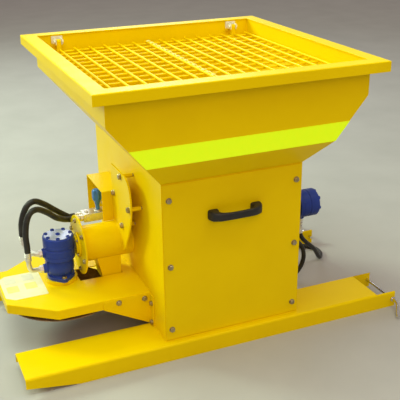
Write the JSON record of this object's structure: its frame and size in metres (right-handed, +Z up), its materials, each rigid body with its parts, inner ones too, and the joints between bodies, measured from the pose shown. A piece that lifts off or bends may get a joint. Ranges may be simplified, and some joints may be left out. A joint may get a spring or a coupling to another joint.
{
  "type": "hopper spreader attachment",
  "caption": "Fork-mounted hydraulic spreader: square hopper with hinged safety grid, auger housing, spinning disc under a hood, two motors and hoses.",
  "frame": {"origin": "centre of the bounding box's floor footprint, on the ground", "axes": "+X along the fork channels from the spinner towards the carrier, -Y the side with the cover panel, +Z up"},
  "size_m": [1.434, 1, 1],
  "materials": {
    "yellow_paint": "gloss",
    "blue_paint": "gloss",
    "zinc_plate": "satin",
    "chrome_pin": "polished",
    "bare_steel": "satin",
    "hose_rubber": "matte",
    "black_plastic": "matte",
    "blue_plastic": "gloss",
    "hi_vis_tape": "gloss"
  },
  "bodies": {
    "machine": {"auger_motor": "blue_paint", "auger_port_fitting_1": "zinc_plate", "auger_port_fitting_2": "zinc_plate", "auger_trough": "yellow_paint", "box_housing": "yellow_paint", "carrier_hose_return": "hose_rubber", "carrier_hose_return_coil": "hose_rubber", "carrier_hose_supply": "hose_rubber", "carrier_hose_supply_coil": "hose_rubber", "carrier_return_coupler": "zinc_plate", "carrier_supply_coupler": "zinc_plate", "cover_bolt_1": "zinc_plate", "cover_bolt_2": "zinc_plate", "cover_bolt_3": "zinc_plate", "cover_bolt_4": "zinc_plate", "cover_bolt_5": "zinc_plate", "cover_bolt_6": "zinc_plate", "cover_handle": "black_plastic", "cover_panel": "yellow_paint", "discharge_plate": "yellow_paint", "discharge_tube": "yellow_paint", "fork_channel_front": "yellow_paint", "fork_channel_rear": "yellow_paint", "grid_hinge_bracket_left": "zinc_plate", "grid_hinge_bracket_right": "zinc_plate", "grid_hinge_pin_left": "zinc_plate", "grid_hinge_pin_right": "zinc_plate", "grid_rest_ledge": "yellow_paint", "hi_vis_strip": "hi_vis_tape", "hood_bracket_front": "yellow_paint", "hood_bracket_rear": "yellow_paint", "hopper": "yellow_paint", "hopper_rim": "yellow_paint", "inboard_bearing": "bare_steel", "motor_stand": "yellow_paint", "outboard_bearing": "yellow_paint", "outlet_spout": "yellow_paint", "plate_stud_1": "zinc_plate", "plate_stud_2": "zinc_plate", "plate_stud_3": "zinc_plate", "plate_stud_4": "zinc_plate", "return_union": "zinc_plate", "spinner_hood": "yellow_paint", "spinner_hose_return": "hose_rubber", "spinner_hose_supply": "hose_rubber", "spinner_motor": "blue_paint", "spinner_port_elbow_1": "zinc_plate", "spinner_port_elbow_2": "zinc_plate", "valve_block": "zinc_plate", "valve_cowl": "yellow_paint", "valve_pipe_return": "zinc_plate", "valve_pipe_supply": "zinc_plate"},
    "spinner": {"spinner_disc": "bare_steel"},
    "auger": {"auger": "bare_steel", "shaft_coupling": "bare_steel"},
    "grid": {"safety_grid": "yellow_paint"},
    "pin_front": {"heel_pin_front": "chrome_pin"},
    "pin_rear": {"heel_pin_rear": "chrome_pin"},
    "knob": {"valve_knob": "blue_plastic"}
  },
  "joints": [
    {"name": "spinner_spin", "type": "hinge", "parent": "machine", "child": "spinner", "pos_m": [-0.49, 0, 0.15], "axis": [0, 0, 1], "continuous": true},
    {"name": "auger_spin", "type": "hinge", "parent": "machine", "child": "auger", "pos_m": [0.035, 0, 0.314], "axis": [1, 0, 0], "continuous": true},
    {"name": "grid_lift", "type": "hinge", "parent": "machine", "child": "grid", "pos_m": [0.035, 0.425, 0.975], "axis": [-1, 0, 0], "range_deg": [0, 105]},
    {"name": "pin_front_pull", "type": "slide", "parent": "machine", "child": "pin_front", "axis": [0, -1, 0], "range_m": [0, 0.23]},
    {"name": "pin_rear_pull", "type": "slide", "parent": "machine", "child": "pin_rear", "axis": [0, 1, 0], "range_m": [0, 0.23]},
    {"name": "knob_turn", "type": "hinge", "parent": "machine", "child": "knob", "pos_m": [-0.303, 0.125, 0.42], "axis": [0, 0, 1], "range_deg": [-150, 150]}
  ]
}
